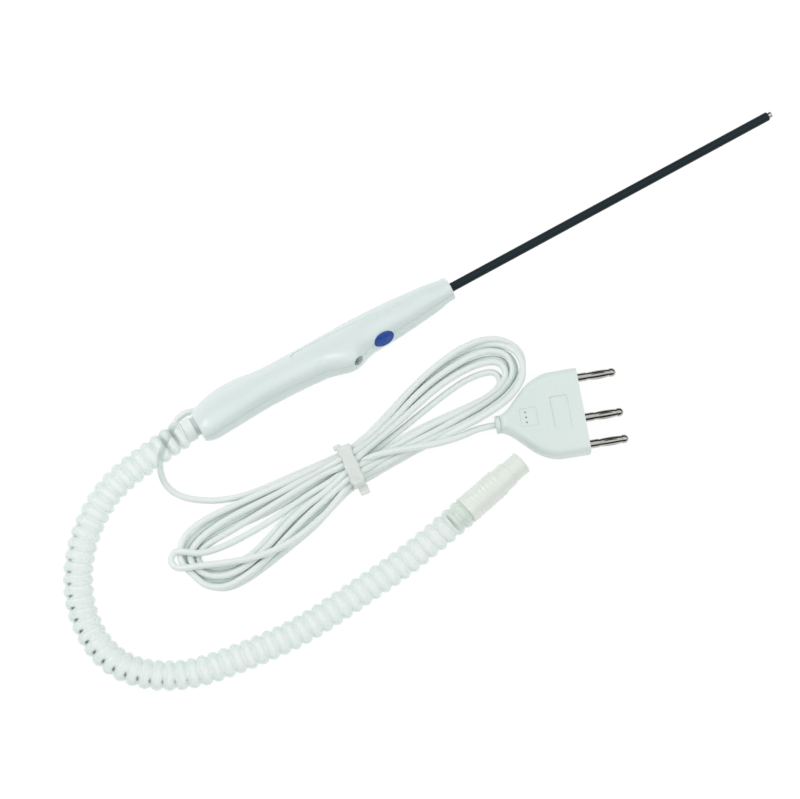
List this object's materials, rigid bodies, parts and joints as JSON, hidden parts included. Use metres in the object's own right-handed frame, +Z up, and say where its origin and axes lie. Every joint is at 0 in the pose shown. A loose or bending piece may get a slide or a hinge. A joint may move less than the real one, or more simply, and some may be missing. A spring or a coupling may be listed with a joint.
{
  "type": "electrosurgical pencil",
  "caption": "Suction electrosurgical pencil: two-shell handle with a sprung button, vent hole and long insulated tube, corrugated smoke hose, tied cord and three-pin plug.",
  "frame": {"origin": "on the table under the centre of the pencil's own box, measured without the hose, the cord and the plug", "axes": "+X along the shaft towards its tip, +Z up from the table, +Y to the handle's back as it lies on its side"},
  "size_m": [0.3996, 0.1238, 0.0234],
  "materials": {
    "shell_plastic": "moulded, satin, pale cool white",
    "button_plastic": "moulded, satin blue",
    "spring_steel": "bright spring steel",
    "board_laminate": "lacquered laminate",
    "contact_brass": "plain brass",
    "tube_steel": "drawn stainless steel",
    "black_insulation": "smooth black coating",
    "inner_plastic": "moulded, pale",
    "inner_silicone": "translucent silicone",
    "cuff_plastic": "soft white",
    "lead_jacket": "thin insulation",
    "clear_hose": "clear corrugated hose",
    "milky_connector": "milky soft moulding",
    "cord_jacket": "smooth pale jacket",
    "tie_film": "translucent band",
    "plug_plastic": "moulded, pale cool white",
    "pin_nickel": "nickel plated"
  },
  "bodies": {
    "pencil": {"left_shell": "shell_plastic", "right_shell": "shell_plastic", "switch_dome": "spring_steel", "switch_board": "board_laminate", "contact_clip": "contact_brass", "suction_tube": "tube_steel", "insulation_sleeve": "black_insulation", "shaft_collar": "contact_brass", "vent_manifold": "inner_plastic", "inner_hose": "inner_silicone", "hose_spigot": "inner_plastic", "hose_cuff": "cuff_plastic", "cord_clamp": "cord_jacket", "active_lead": "lead_jacket", "switch_lead": "lead_jacket", "smoke_hose": "clear_hose", "hose_connector": "milky_connector", "cord_lead": "cord_jacket", "cord_hank": "cord_jacket", "cord_tail": "cord_jacket", "cord_tie": "tie_film", "plug_body": "plug_plastic", "plug_pin_1": "pin_nickel", "plug_pin_2": "pin_nickel", "plug_pin_3": "pin_nickel", "pin_spring_1": "pin_nickel", "pin_spring_2": "pin_nickel", "pin_spring_3": "pin_nickel"},
    "button": {"button": "button_plastic"}
  },
  "joints": [
    {"name": "button_press", "type": "slide", "parent": "pencil", "child": "button", "axis": [0, 0.7826, -0.6225], "range_m": [0, 0.0005], "stiffness_N_per_m": 400}
  ]
}
